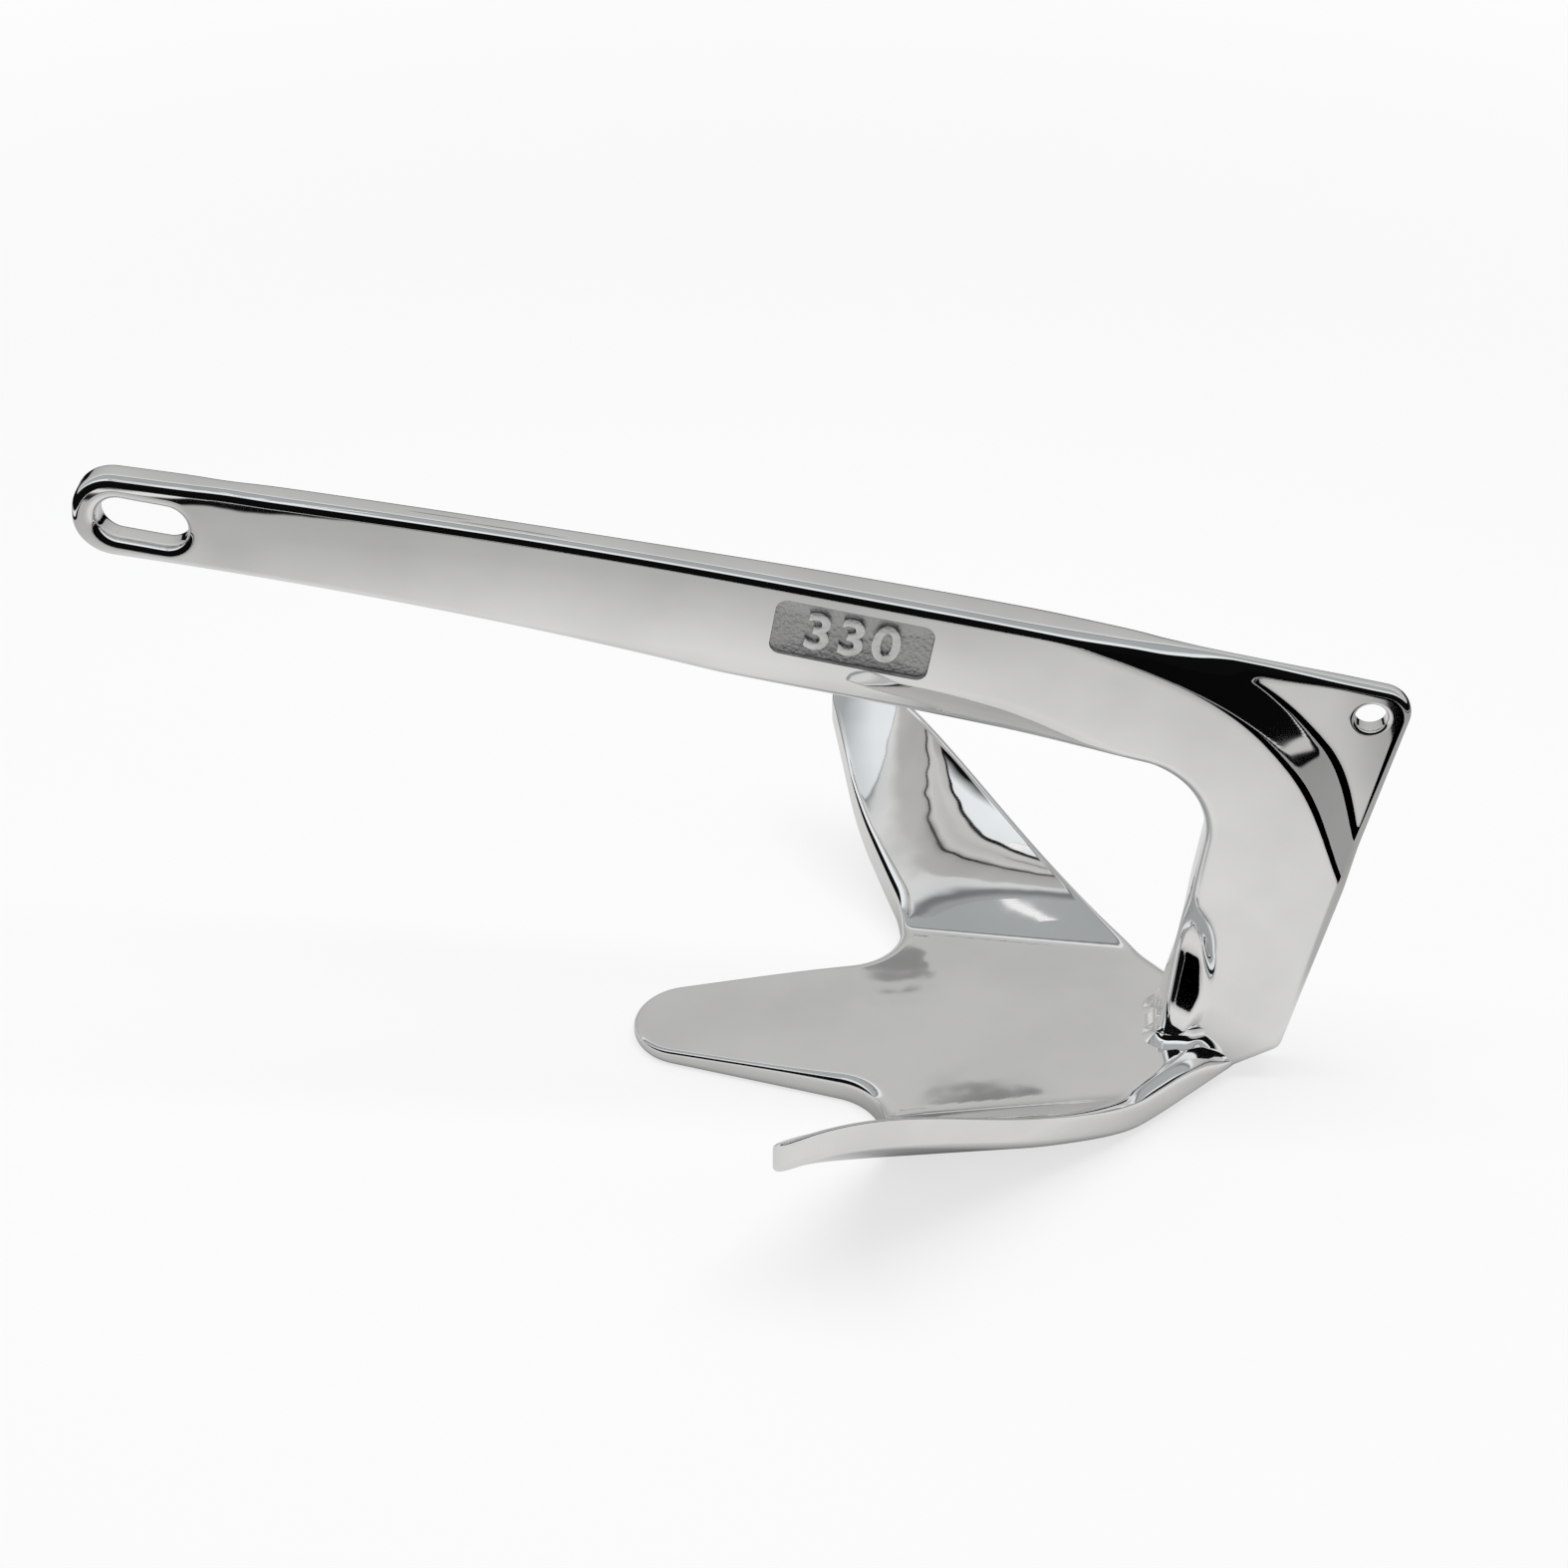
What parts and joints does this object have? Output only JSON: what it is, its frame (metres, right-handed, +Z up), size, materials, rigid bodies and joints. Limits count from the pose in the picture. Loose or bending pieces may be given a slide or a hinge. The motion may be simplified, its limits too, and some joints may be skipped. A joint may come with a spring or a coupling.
{
  "type": "claw anchor",
  "caption": "One-piece cast claw anchor: flat shank with slotted eye, C-shaped arm with corner web and trip-line hole, and a broad claw with two side flukes turned up like a scoop.",
  "frame": {"origin": "centre of the bounding box on the flat sole the anchor stands on", "axes": "+X from the eye of the shank to the crown of the claw, +Y across the flukes to the side away from the recessed panel, +Z up from the sole"},
  "size_m": [0.333, 0.2076, 0.172],
  "materials": {
    "stainless": "cast stainless steel, mirror polished all over, matte in the recessed panel"
  },
  "bodies": {
    "root": {"anchor": "stainless"}
  },
  "joints": []
}
